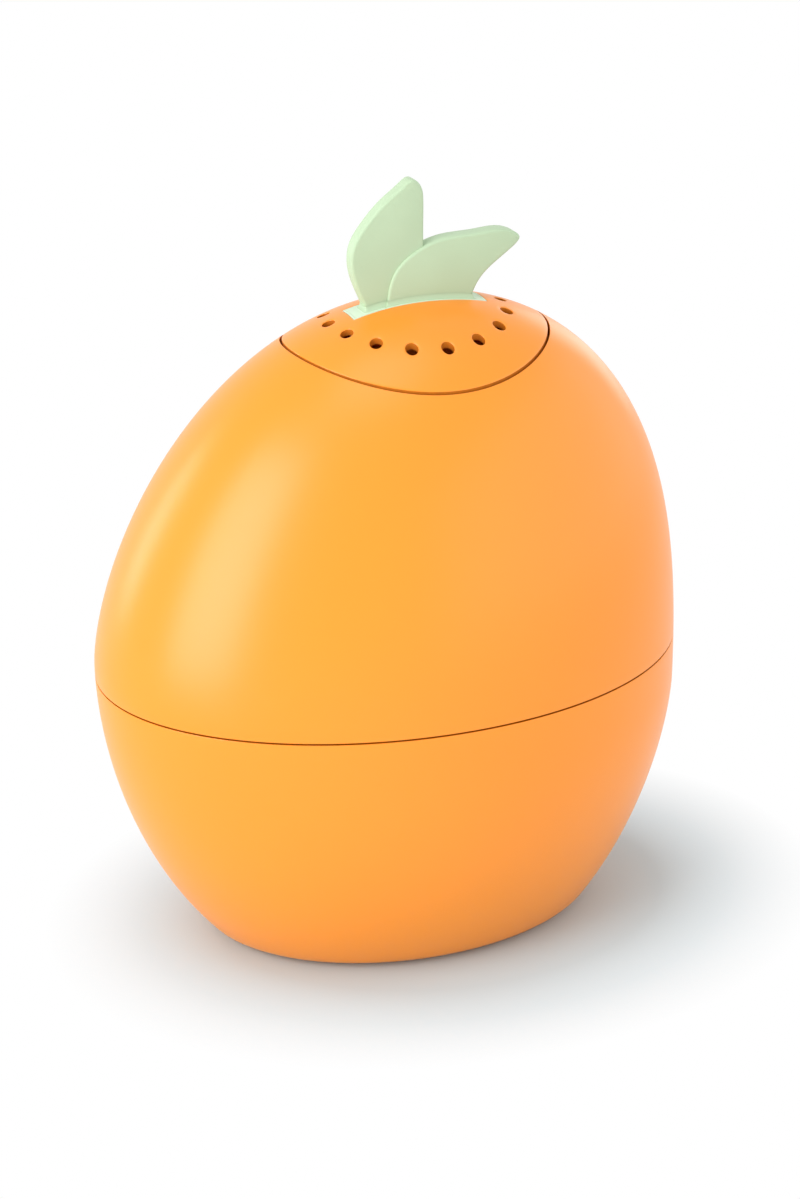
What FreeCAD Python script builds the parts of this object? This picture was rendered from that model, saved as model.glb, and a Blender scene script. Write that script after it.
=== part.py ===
"""Fruit-shaped vented pot: a bowl, a dome that lifts off it, and a vented cap with a leaf for a grip.

Millimetres, +Z up.  The origin is on the surface that the pot stands on, straight below the leaf.
The short end of the fruit points along +X and the long end along -X; the leaf lies in the XZ plane.
Every piece is one node, written to parts/NODE.step.
"""
import FreeCAD, Part
import math
import os

from FreeCAD import Vector

os.makedirs("parts", exist_ok=True)

# ---------------------------------------------------------------- driving dimensions
# The fruit.  Each of the three profiles starts at its own widest height and closes above and below by
#   reach * (1 - t ** inner_power) ** (1 / outer_power),
# where t runs from 0 at the widest height to 1 at the crown, or at the depth where it would close.
CROWN_Z = 128.6
BASE_Z = 0.2
BASE_EDGE_R = 2.5

SHORT_END = {"reach": 54.0, "widest_z": 47.7, "depth": 72.2,
             "upper": (2.20, 2.86), "lower": (1.79, 1.58)}
LONG_END = {"reach": 65.3, "widest_z": 59.1, "depth": 76.5,
            "upper": (2.04, 1.56), "lower": (2.23, 1.88)}
SIDE = {"reach": 43.4, "widest_z": 54.3, "depth": 69.9,
        "upper": (2.14, 1.77), "lower": (1.94, 2.30)}

# Shells
SHELL_WALL = 2.6
SEAM_Z = 57.0
SEAM_EDGE = 0.25

# Half-lap at the seam: the bowl's spigot stands inside the dome's skirt
SKIRT_WALL = 1.2
SPIGOT_CLEARANCE = 0.2
SPIGOT_HEIGHT = 5.0
SPIGOT_TOP_CLEARANCE = 0.5

# Seals
RIM_SEAL_HEIGHT = 1.8
RIM_SEAL_ABOVE_SEAM = 1.8
RIM_SEAL_SEAT = 0.5
SEAL_CLEARANCE = 0.1
CAP_SEAL_HEIGHT = 1.6
CAP_SEAL_ABOVE_LEDGE = 0.9
CAP_SEAL_SEAT = 0.6

# Non-slip pad under the bowl
PAD_MARGIN = 4.0
PAD_THICKNESS = 1.0

# Cap and the dome's neck
CAP_HALF_LENGTH = 25.9
CAP_HALF_WIDTH = 23.0
CAP_WALL = 1.2
CAP_PAD_THICKNESS = 2.2
CAP_PAD_MARGIN = 1.2
CAP_GAP = 0.4
CAP_SKIRT_STEP = 0.5
CAP_SKIRT_HEIGHT = 3.2
CAP_SKIRT_WALL = 1.6
NECK_WALL = 1.8
LEDGE_BELOW_CROWN = 16.6
LEDGE_Z = CROWN_Z - LEDGE_BELOW_CROWN
LEDGE_THICKNESS = 1.8
LEDGE_WIDTH = 2.2

# How many sections each skin is lofted through, and how far a cutting block runs past what it cuts
EDGE_SECTION_COUNT = 5
SIDE_SECTION_COUNT = 11
CROWN_SECTION_COUNT = 22
CUT_OVERRUN = 1.0

# Vent holes in the cap
VENT_COUNT = 16
VENT_D = 2.5
VENT_RING_HALF_LENGTH = 17.7
VENT_RING_HALF_WIDTH = 16.2

# Entry funnel under the cap
FUNNEL_WALL = 1.2
FUNNEL_COLLAR_HEIGHT = 2.4
FUNNEL_COLLAR_BOTTOM_ABOVE_LEDGE = 0.8
FUNNEL_DEPTH = 22.0
FUNNEL_THROAT_R = 4.0
FUNNEL_THROAT_LENGTH = 3.0

# Leaf grip: the strip at its foot is let into the crown
STRIP_HALF_LENGTH = 13.7
STRIP_HALF_WIDTH = 3.05
STRIP_THICKNESS = 1.0
STRIP_CLEARANCE = 0.1
LEAF_THICKNESS = 3.2
FRONT_LOBE_RAISE = 0.5
LEAF_EDGE_R = 0.6

# Leaf fixing: two pegs on the strip, each drawn down by a screw and a washer under the cap
PEG_X = 8.0
PEG_R = 2.0
PEG_CLEARANCE = 0.15
BOSS_R = 3.8
BOSS_BOTTOM_BELOW_CROWN = 5.6
BOSS_BOTTOM_Z = CROWN_Z - BOSS_BOTTOM_BELOW_CROWN
PEG_SHORTFALL = 0.2
SCREW_R = 1.1
SCREW_LENGTH = 8.0
SCREW_HEAD_R = 2.1
SCREW_HEAD_HEIGHT = 1.5
SCREW_RECESS_R = 0.6
SCREW_RECESS_DEPTH = 0.8
WASHER_R = 3.3
WASHER_BORE_R = 1.25
WASHER_THICKNESS = 0.6


# ---------------------------------------------------------------- the fruit's form
def profile_width(profile, z, inset=0.0):
    """Half-width of one profile at height z, with the whole form drawn in by inset."""
    reach = profile["reach"] - inset
    if z > profile["widest_z"]:
        span = CROWN_Z - inset - profile["widest_z"]
        outer_power, inner_power = profile["upper"]
        t = (z - profile["widest_z"]) / span
    else:
        span = profile["depth"] - inset
        outer_power, inner_power = profile["lower"]
        t = (profile["widest_z"] - z) / span
    return reach * max(1.0 - t ** inner_power, 0.0) ** (1.0 / outer_power)


def edge_rounding(z, floor_z):
    """How far the rounded bottom edge draws a section in, at height z above the floor at floor_z."""
    height = z - floor_z
    if height >= BASE_EDGE_R:
        return 0.0
    return BASE_EDGE_R - math.sqrt(BASE_EDGE_R ** 2 - (BASE_EDGE_R - height) ** 2)


def plan(z, inset=0.0, floor_z=None):
    """Centre x, half-length and half-width of the elliptical section at height z."""
    short = profile_width(SHORT_END, z, inset)
    long = profile_width(LONG_END, z, inset)
    width = profile_width(SIDE, z, inset)
    rounding = 0.0 if floor_z is None else edge_rounding(z, floor_z)
    return (short - long) / 2, (short + long) / 2 - rounding, width - rounding


def ellipse_wire(centre_x, half_length, half_width, z):
    """Ellipse in a level plane; its long axis may lie along X or along Y."""
    centre = Vector(centre_x, 0, z)
    if half_length >= half_width:
        curve = Part.Ellipse(centre, half_length, half_width)
        return Part.Wire([curve.toShape()])
    curve = Part.Ellipse(centre + Vector(0, half_width, 0), centre + Vector(half_length, 0, 0), centre)
    return Part.Wire([curve.toShape()])


def ellipse_prism(half_length, half_width, z_low, z_high, centre_x=0.0):
    """Upright solid with an elliptical plan."""
    face = Part.Face(ellipse_wire(centre_x, half_length, half_width, z_low))
    return face.extrude(Vector(0, 0, z_high - z_low))


def ellipse_ring(half_length, half_width, wall, z_low, z_high, centre_x=0.0):
    """Upright elliptical tube, wall thick inwards from the stated half-length and half-width."""
    outside = ellipse_prism(half_length, half_width, z_low, z_high, centre_x)
    inside = ellipse_prism(half_length - wall, half_width - wall, z_low, z_high, centre_x)
    return outside.cut(inside)


def lower_form(inset, floor_z, top_z=SEAM_Z):
    """Solid of the fruit from its flat floor to the seam, drawn in by inset."""
    round_top = floor_z + BASE_EDGE_R
    heights = [floor_z + BASE_EDGE_R * (1 - math.cos(math.radians(90) * i / EDGE_SECTION_COUNT))
               for i in range(EDGE_SECTION_COUNT)]
    side_step = (top_z - round_top) / SIDE_SECTION_COUNT
    heights += [round_top + side_step * i for i in range(SIDE_SECTION_COUNT + 1)]
    wires = [ellipse_wire(*plan(z, inset, floor_z), z) for z in heights]
    return Part.makeLoft(wires, True, False)


def upper_form(inset, low_z=SEAM_Z):
    """Solid of the fruit from the seam to a small flat at its crown, drawn in by inset."""
    last_angle = math.radians(88.2)
    rise = CROWN_Z - inset - low_z
    heights = [low_z + rise * math.sin(last_angle * i / CROWN_SECTION_COUNT)
               for i in range(CROWN_SECTION_COUNT + 1)]
    wires = [ellipse_wire(*plan(z, inset), z) for z in heights]
    return Part.makeLoft(wires, True, False)


def widest_edge(solid, z):
    """Outermost level edge of a solid at height z."""
    level = [e for e in solid.Edges if abs(e.BoundBox.ZMin - z) < 0.01 and abs(e.BoundBox.ZMax - z) < 0.01]
    return max(level, key=lambda e: e.BoundBox.XLength)


def eased(solid, z):
    """The solid with its outermost level edge at height z broken by SEAM_EDGE."""
    return solid.makeChamfer(SEAM_EDGE, [widest_edge(solid, z)])


def cylinder(radius, x, z_low, z_high, y=0.0):
    """Upright cylinder, with its seam line turned away from the seam lines of the fruit's skins."""
    solid = Part.makeCylinder(radius, z_high - z_low, Vector(x, y, z_low))
    solid.rotate(Vector(x, y, 0), Vector(0, 0, 1), 65)
    return solid


def joined(shapes):
    """One solid from several that touch or overlap."""
    result = shapes[0]
    for shape in shapes[1:]:
        result = result.fuse(shape)
    return result.removeSplitter()


def write(node, shape):
    """Write one node, whose shape must be sound closed solids."""
    shape.exportStep("parts/" + node + ".step")
    print(f"{node:14s} solids {len(shape.Solids)} valid {shape.isValid()} volume {shape.Volume:10.2f}"
          f"  z {shape.BoundBox.ZMin:7.2f} {shape.BoundBox.ZMax:7.2f}")


# ---------------------------------------------------------------- sizes that follow from those above
SEAM_CENTRE_X, SEAM_HALF_LENGTH, SEAM_HALF_WIDTH = plan(SEAM_Z)
SOCKET_HALF_LENGTH = SEAM_HALF_LENGTH - SKIRT_WALL
SOCKET_HALF_WIDTH = SEAM_HALF_WIDTH - SKIRT_WALL
SPIGOT_HALF_LENGTH = SOCKET_HALF_LENGTH - SPIGOT_CLEARANCE
SPIGOT_HALF_WIDTH = SOCKET_HALF_WIDTH - SPIGOT_CLEARANCE
SPIGOT_WALL = SHELL_WALL - SKIRT_WALL - SPIGOT_CLEARANCE
SPIGOT_TOP_Z = SEAM_Z + SPIGOT_HEIGHT
SOCKET_TOP_Z = SPIGOT_TOP_Z + SPIGOT_TOP_CLEARANCE
FLOOR_Z = BASE_Z + SHELL_WALL

MOUTH_HALF_LENGTH = CAP_HALF_LENGTH + CAP_GAP
MOUTH_HALF_WIDTH = CAP_HALF_WIDTH + CAP_GAP
THROAT_HALF_LENGTH = MOUTH_HALF_LENGTH - LEDGE_WIDTH
THROAT_HALF_WIDTH = MOUTH_HALF_WIDTH - LEDGE_WIDTH
CAP_SKIRT_HALF_LENGTH = CAP_HALF_LENGTH - CAP_SKIRT_STEP
CAP_SKIRT_HALF_WIDTH = CAP_HALF_WIDTH - CAP_SKIRT_STEP
CAP_BORE_HALF_LENGTH = CAP_SKIRT_HALF_LENGTH - CAP_SKIRT_WALL
CAP_BORE_HALF_WIDTH = CAP_SKIRT_HALF_WIDTH - CAP_SKIRT_WALL

WASHER_BOTTOM_Z = BOSS_BOTTOM_Z - WASHER_THICKNESS
SCREW_TIP_Z = WASHER_BOTTOM_Z + SCREW_LENGTH

fruit_top = upper_form(0.0)
fruit_bottom = lower_form(0.0, BASE_Z)


# ---------------------------------------------------------------- lower bowl
# Injection-moulded shell with a flat floor; its rim carries the spigot that centres the dome.
def rim_seal_ring():
    """Silicone band round the spigot, proud of it and short of the dome's socket."""
    return ellipse_ring(SOCKET_HALF_LENGTH - SEAL_CLEARANCE, SOCKET_HALF_WIDTH - SEAL_CLEARANCE,
                        SPIGOT_CLEARANCE - SEAL_CLEARANCE + RIM_SEAL_SEAT,
                        SEAM_Z + RIM_SEAL_ABOVE_SEAM, SEAM_Z + RIM_SEAL_ABOVE_SEAM + RIM_SEAL_HEIGHT,
                        SEAM_CENTRE_X)


def pad_prism():
    """Elliptical pad let into the underside, with an even margin round it."""
    centre_x, half_length, half_width = plan(BASE_Z, 0.0, BASE_Z)
    return ellipse_prism(half_length - PAD_MARGIN, half_width - PAD_MARGIN, 0.0, PAD_THICKNESS, centre_x)


def lower_bowl():
    rim_centre_x, rim_half_length, rim_half_width = plan(SEAM_Z, SHELL_WALL)
    spigot = ellipse_prism(SPIGOT_HALF_LENGTH, SPIGOT_HALF_WIDTH, SEAM_Z, SPIGOT_TOP_Z, SEAM_CENTRE_X)
    spigot = spigot.cut(ellipse_prism(rim_half_length, rim_half_width, SEAM_Z, SPIGOT_TOP_Z, rim_centre_x))
    spigot = spigot.cut(rim_seal_ring())
    shell = eased(fruit_bottom, SEAM_Z).cut(lower_form(SHELL_WALL, FLOOR_Z))
    return joined([shell.cut(pad_prism()), spigot])


# ---------------------------------------------------------------- upper dome
# Second shell, with a neck round its mouth and a level ledge in the neck for the cap.
def upper_dome():
    neck = ellipse_prism(MOUTH_HALF_LENGTH + NECK_WALL, MOUTH_HALF_WIDTH + NECK_WALL,
                         LEDGE_Z - LEDGE_THICKNESS, CROWN_Z)
    mouth = ellipse_prism(MOUTH_HALF_LENGTH, MOUTH_HALF_WIDTH, LEDGE_Z, CROWN_Z + CUT_OVERRUN)
    throat = ellipse_prism(THROAT_HALF_LENGTH, THROAT_HALF_WIDTH, SEAM_Z, CROWN_Z)
    socket = ellipse_prism(SOCKET_HALF_LENGTH, SOCKET_HALF_WIDTH, SEAM_Z, SOCKET_TOP_Z, SEAM_CENTRE_X)
    hollow = upper_form(SHELL_WALL).cut(neck)
    return eased(fruit_top, SEAM_Z).cut(hollow).cut(socket).cut(mouth).cut(throat)


# ---------------------------------------------------------------- vent cap
# Lid with a skirt that stands on the ledge, a ring of vent holes, and a pocket for the leaf's strip.
def strip_prism(clearance):
    """Upright block with the strip's plan, grown by clearance all round."""
    half_length = STRIP_HALF_LENGTH + clearance
    half_width = STRIP_HALF_WIDTH + clearance
    return Part.makeBox(2 * half_length, 2 * half_width, CROWN_Z, Vector(-half_length, -half_width, LEDGE_Z))


def cap_seal_ring():
    """Silicone band round the cap's skirt, short of the neck's bore."""
    outer_length = MOUTH_HALF_LENGTH - SEAL_CLEARANCE
    outer_width = MOUTH_HALF_WIDTH - SEAL_CLEARANCE
    wall = outer_length - CAP_SKIRT_HALF_LENGTH + CAP_SEAL_SEAT
    low_z = LEDGE_Z + CAP_SEAL_ABOVE_LEDGE
    return ellipse_ring(outer_length, outer_width, wall, low_z, low_z + CAP_SEAL_HEIGHT)


def vent_cap():
    step_z = LEDGE_Z + CAP_SKIRT_HEIGHT
    crown_block = ellipse_prism(CAP_HALF_LENGTH, CAP_HALF_WIDTH, step_z, CROWN_Z + CUT_OVERRUN)
    skirt_block = ellipse_prism(CAP_SKIRT_HALF_LENGTH, CAP_SKIRT_HALF_WIDTH, LEDGE_Z, step_z)
    skirt_block = skirt_block.cut(cap_seal_ring())
    bore = ellipse_prism(CAP_BORE_HALF_LENGTH, CAP_BORE_HALF_WIDTH, LEDGE_Z, CROWN_Z)
    pad = strip_prism(STRIP_CLEARANCE + CAP_PAD_MARGIN).cut(upper_form(CAP_PAD_THICKNESS))
    hollow = upper_form(CAP_WALL).common(bore).cut(pad)
    for x in (-PEG_X, PEG_X):
        hollow = hollow.cut(cylinder(BOSS_R, x, BOSS_BOTTOM_Z, CROWN_Z))
    pocket = strip_prism(STRIP_CLEARANCE).cut(upper_form(STRIP_THICKNESS))
    cap = crown_block.common(fruit_top).fuse(skirt_block).cut(hollow).cut(pocket)
    for x in (-PEG_X, PEG_X):
        cap = cap.cut(cylinder(PEG_R + PEG_CLEARANCE, x, LEDGE_Z, CROWN_Z + CUT_OVERRUN))
    for i in range(VENT_COUNT):
        angle = 2 * math.pi * i / VENT_COUNT
        x = VENT_RING_HALF_LENGTH * math.cos(angle)
        y = VENT_RING_HALF_WIDTH * math.sin(angle)
        cap = cap.cut(cylinder(VENT_D / 2, x, LEDGE_Z, CROWN_Z + CUT_OVERRUN, y))
    return cap


# ---------------------------------------------------------------- entry funnel
# Thin cone pressed into the cap's skirt: what comes in through the vents goes down and not back.
def entry_funnel():
    collar_low = LEDGE_Z + FUNNEL_COLLAR_BOTTOM_ABOVE_LEDGE
    throat_top = collar_low - FUNNEL_DEPTH
    throat_low = throat_top - FUNNEL_THROAT_LENGTH

    def cone(wall):
        wide = ellipse_wire(0, CAP_BORE_HALF_LENGTH - wall, CAP_BORE_HALF_WIDTH - wall, collar_low)
        throat_r = FUNNEL_THROAT_R + FUNNEL_WALL - wall
        narrow = ellipse_wire(0, throat_r, throat_r, throat_top)
        return Part.makeLoft([narrow, wide], True, False)

    collar = ellipse_ring(CAP_BORE_HALF_LENGTH, CAP_BORE_HALF_WIDTH, FUNNEL_WALL,
                          collar_low, collar_low + FUNNEL_COLLAR_HEIGHT)
    collar = collar.common(upper_form(CAP_WALL))
    throat = ellipse_ring(FUNNEL_THROAT_R + FUNNEL_WALL, FUNNEL_THROAT_R + FUNNEL_WALL, FUNNEL_WALL,
                          throat_low, throat_top)
    return joined([collar, cone(0.0).cut(cone(FUNNEL_WALL)), throat])


# ---------------------------------------------------------------- leaf grip
# One moulding: a strip that follows the crown, two leaf lobes standing on it, and two pegs below it.
# The outline points of the lobes are (x, height above the foot).
LEAF_FOOT_BELOW_CROWN = 2.6
FOOT_Z = CROWN_Z - LEAF_FOOT_BELOW_CROWN
REAR_LOBE_LEFT = [(-10.1, 0.0), (-10.8, 2.2), (-12.5, 6.3), (-13.5, 10.6),
                  (-13.0, 14.2), (-10.8, 17.7), (-6.8, 21.9), (-2.9, 24.9)]
REAR_LOBE_TIP = [(-1.1, 25.9)]
REAR_LOBE_RIGHT = [(0.5, 24.8), (1.2, 22.0), (1.2, 17.6), (1.2, 12.2)]
REAR_LOBE_HIDDEN_SIDE = [(1.2, 12.2), (3.0, 6.0), (4.0, 0.0)]
FRONT_LOBE_LEFT = [(-6.5, 0.0), (-6.3, 3.6), (-4.9, 8.2), (-1.0, 11.8)]
FRONT_LOBE_TOP = [(5.0, 14.0), (12.5, 14.4), (19.7, 13.8)]
FRONT_LOBE_TIP = [(20.9, 12.8)]
FRONT_LOBE_RIGHT = [(19.1, 10.5), (12.3, 4.7), (10.2, 0.0)]


def smooth_edge(points, y):
    """Smooth curve through outline points of a lobe, set at depth y."""
    curve = Part.BSplineCurve()
    curve.interpolate([Vector(x, y, FOOT_Z + height) for x, height in points])
    return curve.toShape()


def lobe(sides, y_near, y_far):
    """Leaf lobe between two depths, from outline stretches that meet end to end."""
    edges = [smooth_edge(side, y_near) for side in sides]
    foot = Part.LineSegment(Vector(sides[-1][-1][0], y_near, FOOT_Z),
                            Vector(sides[0][0][0], y_near, FOOT_Z)).toShape()
    face = Part.Face(Part.Wire(edges + [foot]))
    return face.extrude(Vector(0, y_far - y_near, 0))


def rounded_sides(solid, y_values):
    """The lobe with the outline edges of its faces at the given depths rounded."""
    edges = [e for e in solid.Edges
             if any(abs(e.BoundBox.YMin - y) < 0.01 and abs(e.BoundBox.YMax - y) < 0.01 for y in y_values)
             and e.BoundBox.ZMax > FOOT_Z + LEAF_EDGE_R]
    return solid.makeFillet(LEAF_EDGE_R, edges)


def leaf_grip():
    y_far = LEAF_THICKNESS / 2
    y_near = -LEAF_THICKNESS / 2
    y_front = y_near - FRONT_LOBE_RAISE
    rear = lobe([REAR_LOBE_LEFT + REAR_LOBE_TIP + REAR_LOBE_RIGHT, REAR_LOBE_HIDDEN_SIDE], y_near, y_far)
    front = lobe([FRONT_LOBE_LEFT + FRONT_LOBE_TOP + FRONT_LOBE_TIP + FRONT_LOBE_RIGHT], y_front, y_far)
    rear = rounded_sides(rear, (y_near, y_far))
    front = rounded_sides(front, (y_front, y_far))
    under = upper_form(STRIP_THICKNESS)
    grip = strip_prism(0.0).common(fruit_top).cut(under)
    for x in (-PEG_X, PEG_X):
        grip = grip.fuse(cylinder(PEG_R, x, BOSS_BOTTOM_Z + PEG_SHORTFALL, CROWN_Z).common(fruit_top))
    grip = grip.fuse(rear.fuse(front).cut(under))
    for x in (-PEG_X, PEG_X):
        grip = grip.cut(cylinder(SCREW_R, x, LEDGE_Z, SCREW_TIP_Z))
    return grip


# ---------------------------------------------------------------- screws and washers
def grip_screw(x):
    """Pan-head screw with a round driver recess, driven up into a peg."""
    head = cylinder(SCREW_HEAD_R, x, WASHER_BOTTOM_Z - SCREW_HEAD_HEIGHT, WASHER_BOTTOM_Z)
    shank = cylinder(SCREW_R, x, WASHER_BOTTOM_Z, SCREW_TIP_Z)
    recess = cylinder(SCREW_RECESS_R, x, WASHER_BOTTOM_Z - SCREW_HEAD_HEIGHT,
                      WASHER_BOTTOM_Z - SCREW_HEAD_HEIGHT + SCREW_RECESS_DEPTH)
    return joined([head, shank]).cut(recess)


def grip_washer(x):
    """Plain washer that spreads the screw's load over the boss."""
    disc = cylinder(WASHER_R, x, WASHER_BOTTOM_Z, BOSS_BOTTOM_Z)
    return disc.cut(cylinder(WASHER_BORE_R, x, WASHER_BOTTOM_Z, BOSS_BOTTOM_Z))


# ---------------------------------------------------------------- build
write("lower_bowl", lower_bowl())
write("base_pad", pad_prism())
write("rim_seal", rim_seal_ring())
write("upper_dome", upper_dome())
write("vent_cap", vent_cap())
write("cap_seal", cap_seal_ring())
write("entry_funnel", entry_funnel())
write("leaf_grip", leaf_grip())
write("grip_screws", Part.makeCompound([grip_screw(x) for x in (-PEG_X, PEG_X)]))
write("grip_washers", Part.makeCompound([grip_washer(x) for x in (-PEG_X, PEG_X)]))
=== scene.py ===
import math

import bmesh
import bpy
import numpy as np
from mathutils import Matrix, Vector
from mathutils.geometry import delaunay_2d_cdt


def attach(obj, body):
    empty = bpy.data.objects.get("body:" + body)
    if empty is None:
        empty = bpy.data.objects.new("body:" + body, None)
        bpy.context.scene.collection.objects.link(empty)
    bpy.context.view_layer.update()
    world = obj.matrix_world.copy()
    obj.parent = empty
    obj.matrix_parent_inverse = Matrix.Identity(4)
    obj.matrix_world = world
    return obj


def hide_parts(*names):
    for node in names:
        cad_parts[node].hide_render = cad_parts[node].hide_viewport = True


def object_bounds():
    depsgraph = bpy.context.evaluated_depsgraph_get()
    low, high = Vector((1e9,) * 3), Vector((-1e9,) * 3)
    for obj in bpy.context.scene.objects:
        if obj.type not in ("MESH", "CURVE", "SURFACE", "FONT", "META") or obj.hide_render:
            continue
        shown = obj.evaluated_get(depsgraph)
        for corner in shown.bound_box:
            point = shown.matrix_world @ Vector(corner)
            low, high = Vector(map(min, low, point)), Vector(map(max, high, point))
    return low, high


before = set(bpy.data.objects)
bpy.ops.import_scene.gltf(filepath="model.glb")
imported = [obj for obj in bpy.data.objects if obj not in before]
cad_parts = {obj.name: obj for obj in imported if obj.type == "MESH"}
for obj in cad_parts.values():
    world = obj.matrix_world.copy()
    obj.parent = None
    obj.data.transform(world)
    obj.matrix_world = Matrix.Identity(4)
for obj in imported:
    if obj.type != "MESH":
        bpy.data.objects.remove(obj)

cad_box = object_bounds()
bpy.context.scene.view_settings.view_transform = "Standard"

# ---------------------------------------------------------------- Camera
# A long lens a little above the pot, on its long-end side, so that the leaf's left edge and the
# crown both show.  The small shifts only frame the pot.
CAMERA_AZIMUTH = -22.28
CAMERA_ELEVATION = 23.4
CAMERA_DISTANCE = 0.5962
CAMERA_AIM = Vector((0.0, 0.0, 0.060))
CAMERA_LENS = 89.5
CAMERA_SHIFT = (-0.01257, 0.02246)
CAMERA_SENSOR = 36.0
CAMERA_NEAREST = 0.01

azimuth = math.radians(CAMERA_AZIMUTH)
elevation = math.radians(CAMERA_ELEVATION)
towards_camera = Vector((math.sin(azimuth) * math.cos(elevation),
                         -math.cos(azimuth) * math.cos(elevation),
                         math.sin(elevation)))
camera = bpy.data.objects.new("camera", bpy.data.cameras.new("camera"))
bpy.context.scene.collection.objects.link(camera)
camera.location = CAMERA_AIM + towards_camera * CAMERA_DISTANCE
camera.rotation_euler = towards_camera.to_track_quat("Z", "Y").to_euler()
camera.data.lens = CAMERA_LENS
camera.data.sensor_width = CAMERA_SENSOR
camera.data.shift_x, camera.data.shift_y = CAMERA_SHIFT
camera.data.clip_start = CAMERA_NEAREST
bpy.context.scene.camera = camera


# ---------------------------------------------------------------- Lower bowl
# Injection-moulded shell in satin orange plastic.  Its rim carries the spigot that centres the dome,
# and stops a hair short of the dome's edge, which shows as the seam's fine dark line.  Its underside
# has a shallow recess for the non-slip pad.
MM = 0.001
TINY = 1e-9
MERGE_DISTANCE = 0.000002
CROWN_Z = 128.6
BASE_Z = 0.2
BASE_EDGE_R = 2.5
SHELL_WALL = 2.6
SEAM_Z = 57.0
SEAM_EDGE_R = 0.12
SEAM_SHADOW_GAP = 0.34
RIM_Z = SEAM_Z - SEAM_SHADOW_GAP
SKIRT_WALL = 1.2
SPIGOT_CLEARANCE = 0.2
SPIGOT_HEIGHT = 5.0
SPIGOT_TOP_Z = SEAM_Z + SPIGOT_HEIGHT
SPIGOT_EDGE_R = 0.4
SPIGOT_CHAMFER = 0.2
RIM_SEAL_SEAT = 0.5
RIM_SEAL_ABOVE_SEAM = 1.8
RIM_SEAL_HEIGHT = 1.8
RIM_SEAL_LOW_Z = SEAM_Z + RIM_SEAL_ABOVE_SEAM
RIM_SEAL_TOP_Z = RIM_SEAL_LOW_Z + RIM_SEAL_HEIGHT
PAD_MARGIN = 4.0
PAD_RECESS_Z = 1.0
PAD_RECESS_CHAMFER = 0.1
SEGMENTS = 288
SIDE_ROWS = 34
INSIDE_ROWS = 30
FINE_EDGE_STEPS = 5
BASE_EDGE_STEPS = 8
INSIDE_EDGE_STEPS = 6
SPIGOT_EDGE_STEPS = 4

SHORT_END = {"reach": 54.0, "widest_z": 47.7, "depth": 72.2,
             "upper": (2.20, 2.86), "lower": (1.79, 1.58)}
LONG_END = {"reach": 65.3, "widest_z": 59.1, "depth": 76.5,
            "upper": (2.04, 1.56), "lower": (2.23, 1.88)}
SIDE = {"reach": 43.4, "widest_z": 54.3, "depth": 69.9,
        "upper": (2.14, 1.77), "lower": (1.94, 2.30)}

around = np.linspace(0.0, 2 * math.pi, SEGMENTS, endpoint=False)


def profile_width(profile, z, inset=0.0):
    """Half-width of one profile of the fruit at heights z, drawn in by inset."""
    z = np.asarray(z, dtype=float)
    above = z > profile["widest_z"]
    span = np.where(above, CROWN_Z - inset - profile["widest_z"], profile["depth"] - inset)
    outer_power = np.where(above, profile["upper"][0], profile["lower"][0])
    inner_power = np.where(above, profile["upper"][1], profile["lower"][1])
    t = np.abs(z - profile["widest_z"]) / span
    return (profile["reach"] - inset) * np.maximum(1 - t ** inner_power, 0.0) ** (1 / outer_power)


def plan(z, inset=0.0):
    """Centre x, half-length and half-width of the fruit's section at heights z."""
    short = profile_width(SHORT_END, z, inset)
    long = profile_width(LONG_END, z, inset)
    return (short - long) / 2, (short + long) / 2, profile_width(SIDE, z, inset)


def ellipse(centre_x, half_length, half_width, z):
    """One row of points on a level ellipse."""
    points = np.empty((SEGMENTS, 3))
    points[:, 0] = centre_x + half_length * np.cos(around)
    points[:, 1] = half_width * np.sin(around)
    points[:, 2] = z
    return points


def skin_row(z, inset=0.0, drawn_in=0.0):
    """Row on the fruit's skin at height z; drawn_in rounds an edge off."""
    centre_x, half_length, half_width = plan(z, inset)
    return ellipse(centre_x, half_length - drawn_in, half_width - drawn_in, z)


def quarter(steps):
    """(sine, 1 - cosine) pairs over a quarter turn, for rounded edges."""
    angles = np.linspace(0, math.pi / 2, steps + 1)
    return [(math.sin(a), 1 - math.cos(a)) for a in angles]


def add_object(name, points, faces, sharp_degrees=38):
    """Smooth-shaded object from points in millimetres, with its sharp corners kept."""
    mesh = bpy.data.meshes.new(name)
    mesh.from_pydata((np.asarray(points) * MM).tolist(), [], faces)
    mesh.update()
    work = bmesh.new()
    work.from_mesh(mesh)
    bmesh.ops.remove_doubles(work, verts=work.verts, dist=MERGE_DISTANCE)
    bmesh.ops.recalc_face_normals(work, faces=work.faces)
    work.to_mesh(mesh)
    work.free()
    mesh.polygons.foreach_set("use_smooth", [True] * len(mesh.polygons))
    mesh.set_sharp_from_angle(angle=math.radians(sharp_degrees))
    piece = bpy.data.objects.new(name, mesh)
    bpy.context.scene.collection.objects.link(piece)
    return piece


def row_faces(row_count, closed=False):
    """Quads between successive rows of points, and back to the first row if closed."""
    faces = []
    for i in range(row_count if closed else row_count - 1):
        low = i * SEGMENTS
        high = (i + 1) % row_count * SEGMENTS
        for j in range(SEGMENTS):
            k = (j + 1) % SEGMENTS
            faces.append((low + j, low + k, high + k, high + j))
    return faces


def shrunk(level, amount):
    """A section (centre x, half-length, half-width) drawn in by amount."""
    return level[0], level[1] - amount, level[2] - amount


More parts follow.
